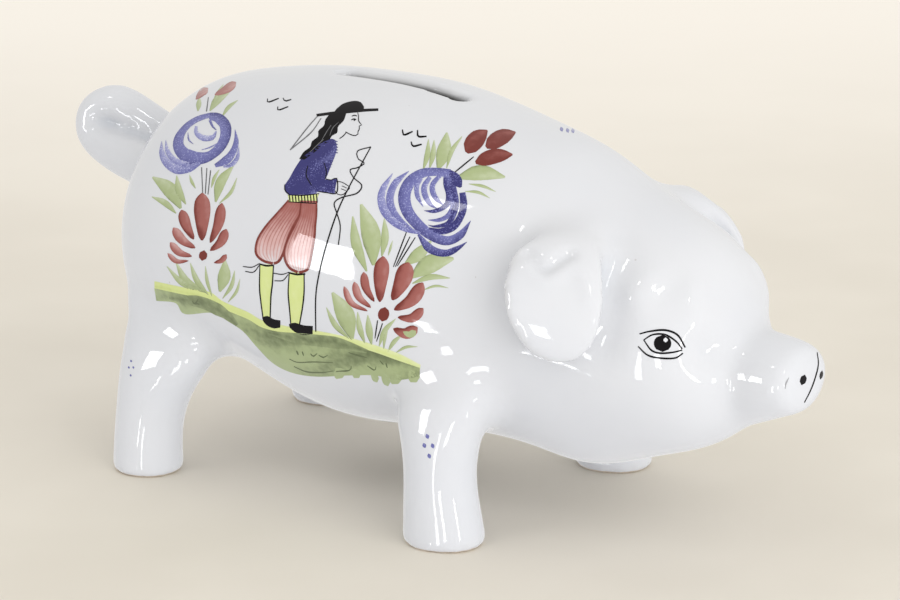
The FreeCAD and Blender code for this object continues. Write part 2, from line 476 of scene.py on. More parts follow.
def add_attribute(mesh, name, values):
    """Stores a number at each point of a mesh, for its material."""
    mesh.attributes.new(name, "FLOAT", "POINT").data.foreach_set("value", values.astype(np.float32))


add_attribute(skin_mesh, "fold", fold_depth(skin_mesh, skin_places, edge_array(skin_mesh)))
add_attribute(skin_mesh, "painted_slot_shade", painted_slot_shadow(skin_places))
skin_tree = tree_over(skin_mesh)

# ---- paint ----


def flat(strength):
    """The same pigment strength all over."""
    return lambda t, w: strength


class Paint:
    """One colour of paint: thin closed films, each with its own pigment strength at every point."""

    def __init__(self, name):
        self.name = name
        self.side = -1
        self.points = []
        self.faces = []
        self.normals = []
        self.tones = []

    def film(self, marks, tones, layer):
        """A closed film over a grid of (u, v) places, if all of it falls on the glaze."""
        rows, columns = len(marks), len(marks[0])
        hits = [[on_skin(u, v, self.side) for u, v in row] for row in marks]
        if any(hit is None for row in hits for hit in row):
            return
        start = len(self.points)
        for lift in (FILM + layer * LAYER, -SUNK):
            for r, row in enumerate(hits):
                for c, (point, normal) in enumerate(row):
                    self.points.append(point + normal * lift)
                    self.normals.append(normal)
                    self.tones.append(float(tones[r][c]))
        under = rows * columns

        def at(r, c):
            return start + r * columns + c

        for r in range(rows - 1):
            for c in range(columns - 1):
                quad = (at(r, c), at(r, c + 1), at(r + 1, c + 1), at(r + 1, c))
                self.faces.append(quad)
                self.faces.append(tuple(k + under for k in reversed(quad)))
        rim = [at(0, c) for c in range(columns)] + [at(r, columns - 1) for r in range(1, rows)]
        rim += [at(rows - 1, c) for c in range(columns - 2, -1, -1)] + [at(r, 0) for r in range(rows - 2, 0, -1)]
        for a, b in zip(rim, rim[1:] + rim[:1]):
            self.faces.append((a, a + under, b + under, b))

    def patch(self, edge_a, edge_b, tone=None, layer=0, columns=7):
        """Fills the space between two curves. tone(t, w) gives the strength at t along and w across, from -1 to 1."""
        count = max(3, int(max(run_length(edge_a), run_length(edge_b)) / STEP) + 1)
        first, second = curve(edge_a, count), curve(edge_b, count)
        marks, tones = [], []
        for k in range(count):
            t = k / (count - 1)
            ws = [2 * c / (columns - 1) - 1 for c in range(columns)]
            marks.append([tuple(first[k, :2] + (second[k, :2] - first[k, :2]) * (w + 1) / 2) for w in ws])
            tones.append([tone(t, w) if tone else PLAIN_TONE for w in ws])
        self.film(marks, tones, layer)

    def stroke(self, points, widths, tone=None, layer=0, columns=5):
        """A brush stroke along a curve. widths are its full widths, spread evenly along it."""
        count = max(4, int(run_length(points) / STEP) + 2)
        middle = curve(points, count)[:, :2]
        along = np.gradient(middle, axis=0)
        along /= np.maximum(np.linalg.norm(along, axis=1), 1e-9)[:, None]
        across = np.stack([-along[:, 1], along[:, 0]], 1)
        known = np.linspace(0, 1, len(widths))
        marks, tones = [], []
        for k in range(count):
            t = k / (count - 1)
            half = max(np.interp(t, known, widths), THINNEST) / 2
            ws = [2 * c / (columns - 1) - 1 for c in range(columns)]
            marks.append([tuple(middle[k] + across[k] * half * w) for w in ws])
            tones.append([tone(t, w) if tone else PLAIN_TONE for w in ws])
        self.film(marks, tones, layer)

    def line(self, points, width):
        """A drawn line."""
        self.stroke(points, [width * 0.6, width, width, width * 0.7], flat(1.0), 2, 3)

    def dot(self, place, wide, high, lean=0.0, tone=None, layer=0):
        """A small oval, leaning by an angle in degrees."""
        turn = math.radians(lean)
        up = (-math.sin(turn), math.cos(turn))
        ends = [(place[0] + up[0] * high / 2 * k, place[1] + up[1] * high / 2 * k) for k in (-1, 0, 1)]
        arch = [math.sqrt(max(0.0, 1 - (2 * t - 1) ** 2)) * wide for t in np.linspace(0, 1, 9)]
        self.stroke(ends, arch, tone or flat(0.95), layer, 5)

    def build(self, material):
        """Makes the piece, shaded with the glaze's own normals."""
        mesh = bpy.data.meshes.new(self.name)
        mesh.from_pydata(self.points, [], self.faces)
        mesh.update()
        shaped = bmesh.new()
        shaped.from_mesh(mesh)
        bmesh.ops.recalc_face_normals(shaped, faces=shaped.faces)
        shaped.to_mesh(mesh)
        shaped.free()
        mesh.shade_smooth()
        mesh.normals_split_custom_set_from_vertices(self.normals)
        add_attribute(mesh, "tone", np.array(self.tones))
        mesh.materials.append(material)
        obj = bpy.data.objects.new(self.name, mesh)
        bpy.context.scene.collection.objects.link(obj)
        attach(obj, "bank")
        return obj


def shifted(origin, points):
    """The points, moved by the origin. Anything after u and v stays as it is."""
    return [(origin[0] + p[0], origin[1] + p[1]) + tuple(p[2:]) for p in points]


def brushed(t, w):
    """A loaded brush: stronger along its edges and at the start, thinner towards the tip."""
    return 0.86 - 0.26 * t + 0.15 * w + 0.14 * w ** 4


def ink(t, w):
    """Full black."""
    return 1.15


# Widths along a stroke, from base to tip, as shares of its greatest width.
LEAF = [0.15, 0.55, 0.9, 1.0, 0.85, 0.5, 0.12]
PETAL = [0.1, 0.42, 0.54, 0.65, 0.75, 0.84, 0.92, 0.98, 1.0, 0.97, 0.88, 0.64, 0.1]
BERRY = [0.2, 0.8, 0.98, 1.0, 0.9, 0.6, 0.08]


def leaf(paint, base, tip, width, bend=0.0, shape=LEAF, tone=None, layer=0):
    """A one-stroke leaf or petal from base to tip, bowed sideways by a share of its length."""
    across = (-(tip[1] - base[1]), tip[0] - base[0])
    middle = ((base[0] + tip[0]) / 2 + across[0] * bend, (base[1] + tip[1]) / 2 + across[1] * bend)
    paint.stroke([base, middle, tip], [width * k for k in shape], tone or brushed, layer)


# ---- the painted decoration ----
blue = Paint("painted_blue")
red = Paint("painted_red")
green = Paint("painted_green")
yellow = Paint("painted_yellow")
black = Paint("painted_black")
white = Paint("painted_eye_highlight")
PAINTS = [blue, red, green, yellow, black, white]


def swirl_flower(middle, strokes):
    """A blue flower of nested crescent strokes: each is its points, its widths and its strength."""
    for points, widths, strength in strokes:
        blue.stroke(shifted(middle, points), widths, lambda t, w: strength - 0.14 * w + 0.16 * (t - 0.5), 2, 7)


# Crescent strokes round the middle of the rear and the front blue flower.
REAR_SWIRL = [
    ([(2.9, 6.9), (0.4, 6.2), (-1.6, 5.3), (-3.7, 3.7), (-5.4, 1.2), (-5.7, -1.4), (-4.0, -3.7), (-1.0, -4.6),
      (2.3, -4.1), (5.2, -1.8), (6.7, 1.2), (6.6, 4.2), (4.7, 6.1), (2.5, 6.6)],
     [1.2, 1.4, 1.5, 1.8, 2.6, 3.3, 3.9, 3.2, 2.4, 2.5, 2.7, 3.0, 2.8, 1.8], 0.92),
    ([(-10.2, -0.1), (-10.1, -3.2), (-8.9, -5.7), (-6.3, -7.5), (-3.0, -7.2), (0.0, -5.9)],
     [0.1, 1.5, 2.2, 2.5, 2.3, 0.8], 0.62),
    ([(-9.1, 0.2), (-8.7, -2.5), (-7.4, -4.6), (-5.3, -5.9), (-2.4, -6.2)], [0.1, 1.2, 1.5, 1.7, 1.1], 0.58),
    ([(9.3, 3.0), (9.6, -0.1), (8.8, -2.8), (7.0, -5.1), (4.0, -6.6)], [0.1, 1.3, 1.8, 2.3, 0.9], 0.84),
    ([(10.3, -1.7), (9.9, -4.4), (8.3, -6.4), (6.2, -6.9)], [0.1, 1.0, 1.2, 0.3], 0.62),
    ([(-1.0, 3.9), (-1.0, 2.2), (0.7, 0.8), (3.3, 0.9), (4.3, 2.6)], [0.6, 1.3, 1.6, 1.3, 0.3], 0.56),
    ([(-3.2, 2.2), (-3.0, 0.3), (-1.8, -0.8)], [0.1, 0.5, 0.1], 0.8),
    ([(5.0, -0.4), (2.7, -1.7), (0.4, -2.4)], [0.1, 0.4, 0.1], 0.7),
    ([(2.6, 5.5), (3.3, 3.9), (4.3, 2.9)], [0.7, 0.6, 0.2], 0.95),
]
FRONT_SWIRL = [
    ([(4.4, 8.0), (0.4, 8.5), (-3.3, 8.0), (-6.3, 5.8), (-7.8, 2.3), (-7.1, -1.7), (-4.6, -5.1), (-1.0, -8.1),
      (3.3, -9.8), (7.0, -8.3), (9.8, -4.5)],
     [2.3, 2.1, 2.5, 3.1, 3.3, 3.1, 2.9, 2.7, 2.4, 2.0, 0.1], 0.96),
    ([(-10.9, 8.1), (-13.4, 4.0), (-13.9, 1.0), (-12.8, -2.3), (-9.9, -5.3), (-6.3, -7.0), (-3.4, -7.8)],
     [0.1, 1.5, 2.1, 2.3, 2.0, 1.6, 0.6], 0.66),
    ([(-6.6, 8.7), (-10.1, 5.6), (-11.6, 2.0), (-11.1, -1.3), (-9.0, -4.3), (-5.8, -6.8)],
     [0.1, 1.7, 2.0, 2.0, 1.6, 0.6], 0.78),
    ([(-4.1, -8.1), (-1.0, -11.9), (3.0, -13.1), (6.3, -11.8), (8.8, -10.1)], [0.6, 2.3, 2.0, 1.6, 0.1], 1.12),
    ([(7.6, 3.0), (7.9, 0.0), (7.3, -3.0), (5.3, -6.0), (2.0, -7.3), (-1.3, -6.5)],
     [1.6, 2.0, 1.8, 2.0, 1.7, 0.5], 1.3),
    ([(4.6, 6.0), (5.8, 1.0), (5.1, -3.0), (3.6, -5.3), (0.3, -6.0), (-1.5, -5.6)],
     [2.0, 1.6, 1.9, 1.5, 1.0, 0.1], 1.24),
    ([(3.6, 7.6), (3.7, 5.3), (4.2, 2.6), (3.8, 0.3), (2.0, -1.3), (-0.3, -2.0), (-2.5, -1.8)],
     [2.0, 2.4, 2.0, 1.7, 1.2, 1.0, 0.1], 1.16),
    ([(4.3, 8.7), (5.6, 6.8), (6.7, 5.2), (7.2, 4.4)], [0.8, 2.8, 3.0, 0.6], 1.34),
    ([(5.1, 1.6), (4.8, -1.3), (3.6, -3.3), (1.3, -4.3), (-1.5, -4.3)], [0.6, 1.2, 1.3, 1.0, 0.1], 0.9),
    ([(-3.3, 6.8), (-4.5, 4.6), (-4.3, 2.0), (-2.8, -0.8)], [0.9, 1.3, 1.2, 0.1], 0.74),
    ([(-1.0, 7.1), (-2.5, 4.6), (-2.3, 2.3), (-1.0, 0.0), (0.7, -1.2)], [1.0, 1.5, 1.6, 1.3, 0.2], 0.78),
    ([(1.7, 7.5), (-0.2, 5.3), (-0.3, 3.3), (0.7, 1.3), (2.5, -0.3)], [1.0, 1.3, 1.5, 1.3, 0.2], 0.84),
]


def petal_tone(load):
    """Deep where the brush was set down, and along one edge. load is how much paint the brush held."""
    return lambda t, w: load + 0.4 * max(0.0, 1 - t / 0.35) + 0.24 * w + 0.14 * abs(w) ** 4 - 0.1 * t


PALE_PETALS = -7.0              # petals that reach further left than this from the heart are paler


def petal_flower(middle, petals, heart):
    """A red flower: petals as (base, tip, width, bend) from the heart, and a dot."""
    for base, tip, width, bend in petals:
        start, end = shifted(middle, [base, tip])
        load = 0.72 if tip[0] < PALE_PETALS else 0.92
        leaf(red, start, end, width, bend, PETAL, petal_tone(load), 1)
    red.dot(middle, heart, heart * 1.3, -12, flat(1.3))


LEFT_TOP = (-30.0, 41.0)        # the left side's leaves in front of and above this place are left out, as they
                                # would run on over the back


def leaves(middle, marks):
    """Green leaves as (base, tip, width, bend) from the heart."""
    for base, tip, width, bend in marks:
        start, end = shifted(middle, [base, tip])
        if green.side < 0 or end[0] < LEFT_TOP[0] or end[1] < LEFT_TOP[1]:
            leaf(green, start, end, width, bend)


FRONT_HEART = (-17.6, -3.8)     # the heart of the front red flower


def rear_bouquet():
    """The bouquet behind the figure: a red flower below, a blue one above and two red buds."""
    heart = (-65.5, 11.8)
    leaves(heart, [
        ((-5.9, 12.5), (-13.4, 20.8), 4.0, -0.10),
        ((-7.2, 11.2), (-13.6, 15.6), 1.7, -0.08),
        ((-4.6, 13.6), (-7.0, 21.2), 1.9, 0.08),
        ((-2.0, 17.8), (-3.6, 21.4), 0.8, 0.05),
        ((3.3, 14.2), (8.0, 23.8), 2.7, 0.10),
        ((4.3, 13.8), (9.0, 20.6), 0.9, -0.10),
        ((2.2, 18.0), (4.3, 22.8), 0.9, 0.06),
        ((-3.9, 37.2), (-6.0, 41.0), 3.0, 0.05),
        ((-1.4, 38.3), (-0.9, 42.0), 1.4, 0.0),
        ((1.8, 38.4), (6.9, 43.2), 2.1, 0.10),
        ((5.0, 36.8), (9.2, 41.2), 1.0, 0.08),
        ((2.6, 39.8), (5.4, 45.4), 0.9, 0.05),
        ((0.4, -9.4), (-9.6, -2.9), 1.6, 0.12),
        ((0.8, -9.8), (-7.2, -1.8), 2.1, 0.14),
        ((1.4, -10.4), (-3.4, -2.0), 1.5, 0.08),
        ((2.4, -10.8), (0.6, -2.8), 0.9, 0.05),
        ((4.4, -9.6), (5.8, -1.2), 3.4, -0.06),
        ((5.2, -11.4), (8.4, -4.0), 1.1, -0.10),
        ((6.6, -12.4), (9.8, -6.2), 0.8, -0.10),
    ])
    petal_flower(heart, [
        ((-0.3, 4.0), (-0.2, 16.6), 4.4, 0.0),
        ((-2.5, 4.3), (-5.7, 12.1), 2.9, 0.05),
        ((1.9, 3.4), (5.0, 13.9), 2.9, -0.06),
        ((-2.1, 2.0), (-7.9, 7.4), 2.6, 0.10),
        ((-3.0, -0.2), (-8.7, 3.5), 2.1, 0.14),
        ((1.9, 1.3), (6.2, 7.0), 2.6, -0.12),
        ((-3.9, -1.4), (-9.4, 0.6), 1.4, 0.20),
        ((2.9, -1.9), (6.2, 0.3), 1.5, -0.16),
    ], 2.2)
    for foot, top in (((-0.1, 16.6), (-0.4, 23.4)), ((0.6, 16.4), (1.0, 23.2)), ((1.3, 16.2), (2.0, 22.6))):
        black.stroke(shifted(heart, [foot, top]), [0.25, 0.25], flat(0.55), 1, 3)
    black.stroke(shifted(heart, [(0.9, 38.2), (1.4, 42.0)]), [0.3, 0.2], flat(0.55), 1, 3)
    swirl_flower((-66.3, 42.2), REAR_SWIRL)
    leaf(red, (-67.4, 53.2), (-64.2, 56.2), 2.0, 0.05, PETAL, None, 1)
    leaf(red, (-62.4, 54.4), (-56.8, 57.8), 2.3, -0.05, PETAL, None, 1)


def front_bouquet():
    """The bouquet in front of the figure, with three red berries on the right side of the bank."""
    heart = FRONT_HEART
    leaves(heart, [
        ((-2.7, 13.0), (-6.0, 29.2), 5.2, -0.06),
        ((-4.5, 11.4), (-8.2, 26.0), 2.8, 0.06),
        ((-0.5, 15.4), (0.2, 25.4), 2.1, -0.05),
        ((1.2, 15.6), (2.4, 19.6), 0.6, 0.0),
        ((7.4, 9.8), (18.6, 14.8), 5.0, 0.10),
        ((7.6, 8.2), (17.6, 9.6), 1.6, 0.10),
        ((10.4, 6.4), (17.2, 7.0), 0.7, 0.12),
        ((5.6, 13.2), (12.6, 19.4), 3.4, -0.04),
        ((10.5, 38.4), (11.9, 46.4), 1.5, -0.05),
        ((12.2, 38.8), (13.4, 46.2), 1.5, -0.04),
        ((14.4, 38.4), (16.8, 48.2), 3.9, -0.04),
        ((16.7, 38.8), (20.8, 47.2), 1.2, 0.08),
        ((19.4, 36.2), (32.2, 36.4), 4.1, 0.10),
        ((22.6, 34.6), (29.8, 32.5), 0.8, 0.06),
        ((21.6, 32.6), (28.2, 30.8), 0.8, 0.10),
        ((-8.3, -6.6), (-13.6, 5.8), 5.0, -0.06),
        ((-9.2, -6.4), (-15.2, 1.8), 1.5, 0.08),
        ((-5.0, -7.6), (-6.9, 0.6), 1.6, 0.05),
        ((-3.2, -8.0), (-4.2, -0.2), 1.9, 0.02),
        ((-1.2, -8.4), (3.2, -1.2), 1.4, 0.10),
        ((0.0, -9.2), (1.2, -3.4), 0.9, 0.05),
        ((1.2, -9.8), (5.0, -5.4), 1.2, 0.08),
        ((3.2, -10.2), (9.0, -8.6), 0.8, 0.12),
    ])
    petal_flower(heart, [
        ((-1.0, 3.3), (-0.1, 15.4), 4.1, 0.02),
        ((2.3, 3.8), (6.6, 13.8), 4.7, -0.04),
        ((2.8, 1.2), (10.4, 8.4), 3.7, -0.12),
        ((3.8, -0.8), (10.5, 1.6), 2.7, -0.20),
        ((2.6, -3.8), (9.0, -3.5), 3.2, -0.22),
        ((-2.5, 3.4), (-5.3, 11.2), 2.3, 0.10),
        ((-3.4, 1.8), (-7.8, 8.6), 2.1, 0.14),
        ((-4.3, 0.9), (-10.5, 7.4), 1.7, 0.18),
    ], 3.0)
    leaf(green, (-12.4, -8.4), (-9.0, -8.2), 1.9, -0.25, PETAL, flat(0.8), 2)
    for foot, top in (((2.6, 12.6), (6.2, 22.2)), ((3.1, 12.6), (7.0, 20.6)), ((3.6, 12.8), (8.4, 20.4)),
                      ((-2.3, -6.4), (-1.6, -1.6)), ((-1.9, -7.2), (-0.3, -2.4))):
        black.line(shifted(heart, [foot, top]), 0.32)
    black.line(shifted(heart, [(18.3, 37.2), (23.9, 41.8)]), 0.35)
    swirl_flower((-4.3, 25.5), FRONT_SWIRL)
    if red.side < 0:
        berries = [((22.0, 42.9), (27.5, 48.8), 4.7), ((27.2, 44.3), (35.0, 48.3), 4.3),
                   ((24.4, 40.2), (34.2, 42.4), 4.0)]
        for base, tip, width in berries:
            start, end = shifted(heart, [base, tip])
            leaf(red, start, end, width, 0.06, BERRY, lambda t, w: 1.2 - 0.12 * t + 0.28 * abs(w) ** 3 - 0.1 * w, 1)


# Short dark strokes in the grass, each with its width.
GRASS_MARKS = [
    ([(-68.4, -0.2), (-67.6, -1.0), (-66.8, 0.3)], 0.7), ([(-67.4, -0.9), (-66.3, -1.1)], 0.5),
    ([(-40.7, -13.4), (-40.2, -14.6)], 0.5), ([(-39.2, -13.6), (-38.8, -14.8)], 0.45),
    ([(-37.0, -14.2), (-36.2, -14.9), (-35.2, -14.1)], 0.45),
    ([(-34.8, -14.6), (-33.6, -15.2), (-32.4, -14.6)], 0.4),
    ([(-42.6, -15.6), (-40.4, -16.5), (-36.0, -16.4), (-31.0, -16.6)], 0.35),
    ([(-41.4, -17.6), (-38.0, -19.0), (-34.0, -19.2), (-31.0, -18.8)], 0.4),
    ([(-30.2, -18.9), (-26.6, -18.6), (-26.2, -17.4)], 0.45),
    ([(-26.9, -13.9), (-24.6, -14.6), (-22.0, -15.3)], 0.55), ([(-21.9, -17.4), (-20.0, -18.6), (-19.6, -17.6)], 0.4),
    ([(-18.6, -16.0), (-17.6, -17.2)], 0.4), ([(-17.0, -16.6), (-16.6, -18.0)], 0.45),
]


def ground_band():
    """The grassy ground: a light edge above, a dull green wash below with a ragged foot, and a few grass marks."""
    top = [(-78.4, 5.0), (-69.0, 3.0), (-63.7, 2.1), (-60.1, -0.4), (-53.6, -3.2), (-49.5, -5.5), (-42.4, -7.1),
           (-34.5, -8.3), (-27.3, -9.8), (-20.4, -11.8), (-13.6, -14.2), (-7.8, -17.2)]
    seam = [(x, y - 1.9) for x, y in top[:-1]] + [(-8.0, -18.0)]
    low = [(-77.9, -0.2), (-72.8, -0.8), (-70.4, -3.7), (-63.2, -3.4), (-58.8, -5.7), (-54.8, -8.4), (-51.3, -12.4),
           (-46.9, -16.8), (-41.8, -19.3), (-35.4, -20.3), (-27.0, -20.0), (-19.8, -20.0), (-14.0, -21.2),
           (-8.0, -20.4)]
    yellow.patch(top, [(x, y - 0.7) for x, y in seam], lambda t, w: 1.0 - 0.3 * t - 0.2 * abs(w), 0, 5)
    green.patch(seam, low, lambda t, w: 0.94 + 0.08 * t + 0.1 * math.sin(19 * t + 2 * w) - 0.1 * w, 1, 9)
    for u, v, reach, width in ((-29.0, -19.4, 1.2, 3.4), (-19.8, -19.6, 2.2, 1.8), (-16.9, -19.8, 3.0, 2.0),
                               (-14.2, -20.2, 2.0, 3.4), (-9.4, -20.0, 1.8, 3.0), (-24.6, -19.6, 1.0, 2.4)):
        leaf(green, (u - 1.2, v + 1.4), (u + 0.5, v - reach), width, 0.0, PETAL, flat(0.8), 1)
    for wash in ([(-74.5, 0.6), (-66.0, -0.6), (-59.8, -3.6), (-56.4, -6.6)],
                 [(-48.2, -8.6), (-40.0, -10.2), (-30.0, -11.4), (-22.0, -13.6)]):
        green.stroke(wash, [0.8, 3.0, 3.2, 1.0], lambda t, w: 1.14 - 0.1 * abs(w), 2)
    for points, width in GRASS_MARKS:
        green.stroke(points, [0.2, width, 0.15], flat(1.42), 3, 3)


def birds(middle, marks, width=0.36):
    """Small ticks of birds in flight."""
    for points in marks:
        black.line(shifted(middle, points), width)


def dot_motif(places, size):
    """A few blue dots."""
    for u, v in places:
        blue.dot((u, v), size * 0.8, size * 1.15, 20, flat(0.9))


def eye():
    """The pig's own eye: two lids drawn double, a black pupil, and a painted highlight in glaze white on the pupil.
    """
    middle = (56.4, -11.3)
    for width, points in (
        (0.55, [(-6.1, 2.3), (-3.3, 3.0), (0.7, 3.3), (4.0, 2.0), (6.0, -1.3)]),
        (0.5, [(-5.0, 0.7), (-2.6, 2.1), (0.7, 2.1), (3.6, 0.3), (5.2, -1.7)]),
        (0.5, [(-5.0, 0.7), (-3.0, -2.0), (-0.7, -2.8), (2.6, -2.6), (5.2, -2.0)]),
        (0.5, [(-6.5, -1.0), (-4.0, -3.3), (-0.7, -4.1), (3.3, -4.1), (5.4, -2.8)]),
    ):
        black.line(shifted(middle, points), width)
    black.dot((middle[0], middle[1] - 0.2), 4.7, 4.5, 0, ink, 1)
    # painted highlight: a glint of glaze white laid over the black pupil
    white.dot((middle[0] + 0.8, middle[1] + 0.7), 1.2, 1.3, 0, flat(0.0), 4)


def snout():
    """The line across the snout, two nostrils and a faint crease."""
    black.line([(97.4, -13.9), (97.7, -17.2), (96.7, -21.2), (95.4, -24.5), (94.0, -27.2)], 0.34)
    black.dot((93.7, -21.2), 1.7, 2.9, -18, ink)
    black.dot((98.5, -19.9), 0.9, 2.4, -12, ink)
    black.stroke([(89.9, -20.6), (89.1, -22.2), (88.9, -23.6)], [0.15, 0.45, 0.15], flat(0.3), 1, 3)


FIGURE = (-39.1, 27.0)          # the middle of the figure's belt


def outline(points, width=0.34, strength=1.0, layer=3):
    """A black line of the figure."""
    black.stroke(shifted(FIGURE, points), [width * 0.7, width, width * 0.8], lambda t, w: strength, layer, 3)


def fill(paint, edge_a, edge_b, tone=None, layer=0, columns=7):
    """A filled shape of the figure."""
    paint.patch(shifted(FIGURE, edge_a), shifted(FIGURE, edge_b), tone, layer, columns)


def hat_and_hair():
    """A round black hat with two ribbon ends, and a thick plait."""
    fill(black, [(8.2, 22.6), (12.0, 22.9), (16.2, 23.3)],
         [(8.9, 23.6), (10.8, 25.1), (13.5, 25.8), (15.4, 25.5), (16.3, 24.2)], ink)
    black.stroke(shifted(FIGURE, [(3.7, 22.0), (8.4, 22.6), (16.0, 23.3), (20.1, 23.5)]), [0.7, 0.8, 0.8, 0.65],
                 ink, 1, 3)
    fill(black, [(7.4, 22.6), (6.0, 20.8), (5.7, 19.3), (4.2, 17.9), (4.1, 16.4), (2.5, 15.1), (2.0, 13.6),
                 (0.3, 12.3), (-0.9, 10.4)],
         [(11.6, 22.6), (10.9, 20.6), (9.4, 19.0), (9.2, 17.4), (7.7, 16.5), (6.9, 14.9), (5.2, 14.2),
          (3.7, 12.6), (0.5, 10.2)], ink)
    for points in ([(9.6, 20.2), (8.0, 18.6), (7.2, 16.6)], [(7.6, 19.4), (6.4, 17.6), (5.0, 15.2)],
                   [(5.6, 15.6), (3.8, 14.0), (2.0, 12.2)]):
        black.stroke(shifted(FIGURE, points), [0.1, 0.22, 0.1], flat(0.55), 2, 3)
    for points in ([(3.9, 21.7), (1.2, 18.6), (-3.3, 12.8)], [(4.9, 21.2), (2.2, 17.4), (-3.3, 12.8)]):
        outline(points, 0.28, 0.5)


def calm_face():
    """A plain, generic profile on textbook proportions."""
    outline([(14.6, 22.7), (14.9, 21.7), (14.75, 20.8), (15.1, 20.1), (15.65, 19.45), (15.0, 19.1)], 0.24)
    outline([(15.0, 19.1), (15.15, 18.7), (14.85, 18.4), (15.0, 18.05), (14.7, 17.7)], 0.24)
    outline([(14.7, 17.7), (14.75, 17.1), (14.1, 16.6), (12.9, 16.8), (11.4, 17.6)], 0.24)
    outline([(11.6, 17.5), (10.9, 16.6), (9.8, 15.8)], 0.24)
    outline([(12.9, 20.75), (13.6, 21.05), (14.2, 20.85)], 0.26)
    outline([(13.05, 21.75), (13.8, 22.0), (14.4, 21.8)], 0.26)
    black.dot((FIGURE[0] + 13.75, FIGURE[1] + 20.75), 0.5, 0.5, 0, None, 3)


def jacket():
    """The blue jacket with its folds, its fringed edge, the cuff and the hand."""
    def cloth(t, w):
        return 1.38 + 0.2 * math.sin(9 * t + 3 * w) - 0.2 * w
    fill(blue, [(7.7, 15.8), (4.6, 14.4), (2.0, 12.4), (-0.2, 10.6), (-2.0, 8.0), (-3.5, 5.3), (-4.9, 3.1),
                (-4.4, 1.4), (-3.3, 0.9)],
         [(8.6, 15.5), (9.1, 13.7), (8.7, 11.5), (7.8, 9.3), (7.1, 7.5), (6.2, 5.3), (4.8, 3.5), (4.2, 2.2),
          (3.3, 1.0)], cloth, 0, 11)
    fill(blue, [(3.4, 5.4), (6.4, 4.9), (9.1, 5.1)], [(3.3, 1.7), (6.0, 1.6), (8.5, 1.3)], cloth, 1, 6)
    for points in ([(1.6, 8.4), (1.2, 5.6), (3.0, 3.0), (4.2, 1.8)], [(5.6, 9.6), (6.2, 7.4), (5.8, 5.2)],
                   [(8.2, 5.1), (8.0, 1.4)], [(6.0, 14.6), (5.4, 12.6), (6.0, 10.6)]):
        blue.stroke(shifted(FIGURE, points), [0.2, 0.42, 0.3], flat(1.3), 3, 3)
    for k in range(10):
        drop = 15.2 - 0.75 * k
        edge = 8.75 - 0.018 * (12.9 - drop) ** 2 - (0.16 * k if k > 4 else 0.0)
        blue.stroke(shifted(FIGURE, [(edge - 0.3, drop), (edge + 0.6, drop - 0.2)]), [0.4, 0.2],
                    flat(1.2), 2, 3)
    for points in ([(6.2, 5.1), (7.6, 4.8), (9.1, 5.2), (9.0, 1.4), (6.2, 1.5), (4.2, 1.8)],
                   [(5.7, 9.4), (6.3, 7.2), (6.1, 5.2)],
                   [(-3.4, 0.9), (-4.6, 2.0), (-4.7, 3.6)], [(1.4, 8.6), (1.0, 6.0), (2.4, 3.4)]):
        outline(points, 0.3, 0.85, 4)
    outline([(9.0, 4.4), (10.3, 4.3), (11.6, 3.6), (12.5, 2.9), (11.9, 2.0), (10.6, 0.9), (9.2, 1.1), (8.6, 2.0)],
            0.24)
    outline([(10.4, 3.3), (11.7, 2.7)], 0.2)
    outline([(10.2, 2.5), (11.5, 2.0)], 0.2)


def belt():
    """A straw-coloured belt with dark ribs."""
    fill(yellow, [(-3.9, 0.8), (0.2, 0.7), (4.3, 1.2)], [(-3.6, -0.9), (0.2, -1.1), (3.5, -1.3)],
         flat(0.8), 1, 4)
    for k in range(10):
        u = -3.5 + 0.8 * k
        outline([(u, 0.75 + 0.03 * k), (u + 0.2, -1.0 - 0.02 * k)], 0.34, 1.0, 3)
    outline([(-3.9, 0.85), (0.2, 0.75), (4.4, 1.2)], 0.3)
    outline([(-3.8, -0.95), (0.2, -1.2), (3.6, -1.4)], 0.3)


def breeches():
    """Wide pleated breeches, pale below, drawn in at the knees."""
    def pleats(t, w):
        rim = max(0.0, abs(w) - 0.8) * 2.4 + max(0.0, t - 0.93) * 6
        thread = max(0.0, math.cos(25 * w)) ** 2 * min(1.0, 2.5 * t)
        return min(1.15, 0.84 - 0.76 * min(1.0, t * 1.05) + 0.32 * thread + rim)
    rear = ([(-3.7, -0.5), (-6.6, -3.8), (-9.5, -7.1), (-11.6, -10.2), (-12.4, -12.8), (-12.2, -15.0),
             (-10.4, -16.6), (-7.9, -17.3)],
            [(0.8, -0.6), (-0.6, -4.2), (-2.0, -6.6), (-3.5, -9.7), (-4.4, -12.4), (-5.3, -15.0), (-6.4, -16.8),
             (-7.6, -17.3)])
    front = ([(-0.4, -0.6), (-0.8, -4.4), (-2.0, -7.1), (-3.8, -10.6), (-4.8, -13.7), (-4.6, -16.4),
              (-3.3, -18.6), (-1.3, -19.6)],
             [(3.7, -0.7), (3.7, -4.0), (3.4, -7.1), (3.2, -10.2), (2.6, -13.7), (2.0, -16.8), (1.2, -19.0),
              (-0.9, -19.7)])
    for layer, (a, b) in ((0, rear), (2, front)):
        fill(red, a, b, pleats, layer, 41)
        for edge in (a, b):
            red.stroke(shifted(FIGURE, edge), [0.4, 0.5, 0.55, 0.75], flat(1.15), layer + 1, 3)


